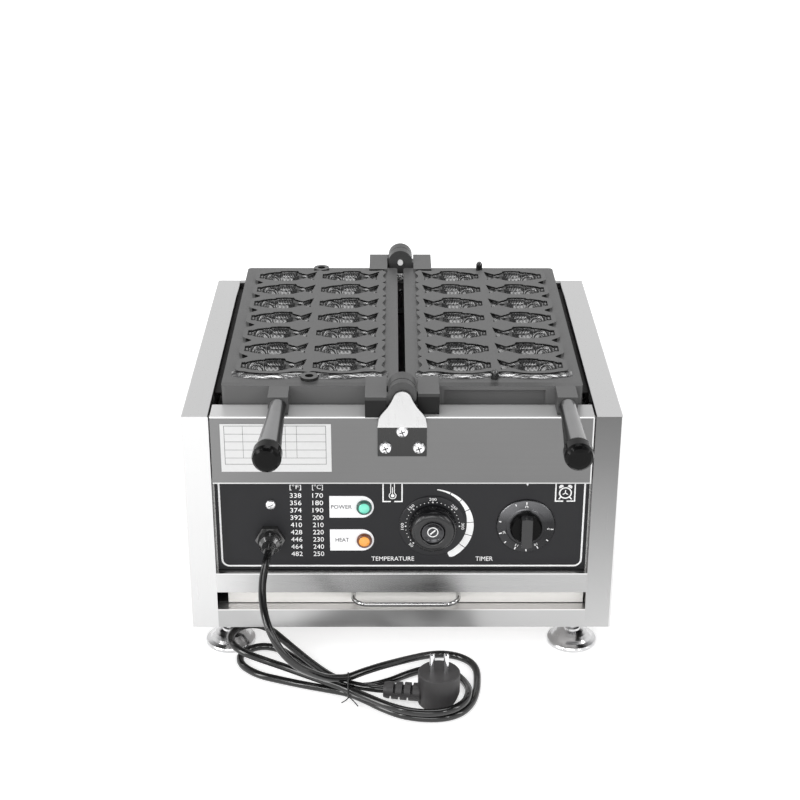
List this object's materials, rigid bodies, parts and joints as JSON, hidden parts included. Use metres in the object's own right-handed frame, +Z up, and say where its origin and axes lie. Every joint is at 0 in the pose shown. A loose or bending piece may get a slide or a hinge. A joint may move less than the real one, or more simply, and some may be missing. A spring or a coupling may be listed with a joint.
{
  "type": "taiyaki maker",
  "caption": "Countertop taiyaki maker: stainless housing with controls and drip tray, and two cast fish-mould plates that fold over each other on a centre hinge.",
  "frame": {"origin": "on the counter under the centre of the whole appliance's box, measured without the cord and its plug", "axes": "+Z up, -Y towards the user and the control panel, +X to the user's right, with the hinge line along Y at x = 0"},
  "size_m": [0.4, 0.5036, 0.2901],
  "materials": {
    "stainless": "brushed",
    "bright_steel": "satin",
    "chrome": "polished",
    "cast_mould": "non-stick coated, satin",
    "dark_grip": "satin",
    "black_rubber": "matte",
    "black_plate": "gloss",
    "black_knob": "semi-gloss",
    "knob_metal": "satin",
    "white_label": "semi-gloss",
    "silver_label": "satin",
    "green_lens": "gloss",
    "orange_lens": "gloss",
    "heater": "matte oxide",
    "ceramic": "matte"
  },
  "bodies": {
    "housing": {"side_panel_left": "stainless", "side_panel_right": "stainless", "base_pan": "stainless", "fascia": "stainless", "control_plate": "black_plate", "front_apron": "stainless", "rear_panel": "stainless", "heat_shield": "stainless", "mould_rests": "stainless", "tray_rails": "stainless", "heater_left": "heater", "heater_right": "heater", "heater_supports": "stainless", "thermostat_body": "ceramic", "timer_body": "ceramic", "temperature_dial": "black_plate", "power_lamp": "green_lens", "heat_lamp": "orange_lens", "lamp_plates": "white_label", "rating_plate": "silver_label", "cord_gland": "black_rubber", "terminal_screw": "chrome", "front_hinge_bracket": "bright_steel", "front_hinge_pin": "chrome", "rear_hinge_bracket": "bright_steel", "rear_hinge_pin": "chrome", "hinge_washers": "bright_steel", "bracket_screws": "chrome", "foot_front_left": "chrome", "foot_front_right": "chrome", "foot_rear_left": "chrome", "foot_rear_right": "chrome", "cord_lead": "black_rubber", "cord_hank": "black_rubber", "cord_tie": "black_rubber", "strain_relief": "black_rubber", "plug_body": "black_rubber", "plug_pins": "chrome"},
    "left_mould": {"left_mould": "cast_mould", "left_knuckles": "cast_mould", "left_handle_stud": "chrome", "left_handle_grip": "dark_grip", "left_handle_cap": "black_rubber"},
    "right_mould": {"right_mould": "cast_mould", "right_knuckles": "cast_mould", "locating_pins": "chrome", "right_handle_stud": "chrome", "right_handle_grip": "dark_grip", "right_handle_cap": "black_rubber"},
    "drip_tray": {"drip_tray": "stainless", "tray_handle": "chrome"},
    "temperature_knob": {"temperature_knob": "black_knob", "knob_cap": "knob_metal"},
    "timer_knob": {"timer_skirt": "knob_metal", "timer_grip": "black_knob"}
  },
  "joints": [
    {"name": "left_mould_hinge", "type": "hinge", "parent": "housing", "child": "left_mould", "pos_m": [0, 0.03393, 0.2772], "axis": [0, 1, 0], "range_deg": [0, 180]},
    {"name": "right_mould_hinge", "type": "hinge", "parent": "housing", "child": "right_mould", "pos_m": [0, 0.03393, 0.2772], "axis": [0, -1, 0], "range_deg": [0, 180]},
    {"name": "tray_slide", "type": "slide", "parent": "housing", "child": "drip_tray", "axis": [0, -1, 0], "range_m": [0, 0.095]},
    {"name": "temperature_turn", "type": "hinge", "parent": "housing", "child": "temperature_knob", "pos_m": [0.0287, -0.13807, 0.141], "axis": [0, 1, 0], "range_deg": [0, 270]},
    {"name": "timer_turn", "type": "hinge", "parent": "housing", "child": "timer_knob", "pos_m": [0.116, -0.13807, 0.141], "axis": [0, 1, 0], "range_deg": [0, 300]}
  ]
}
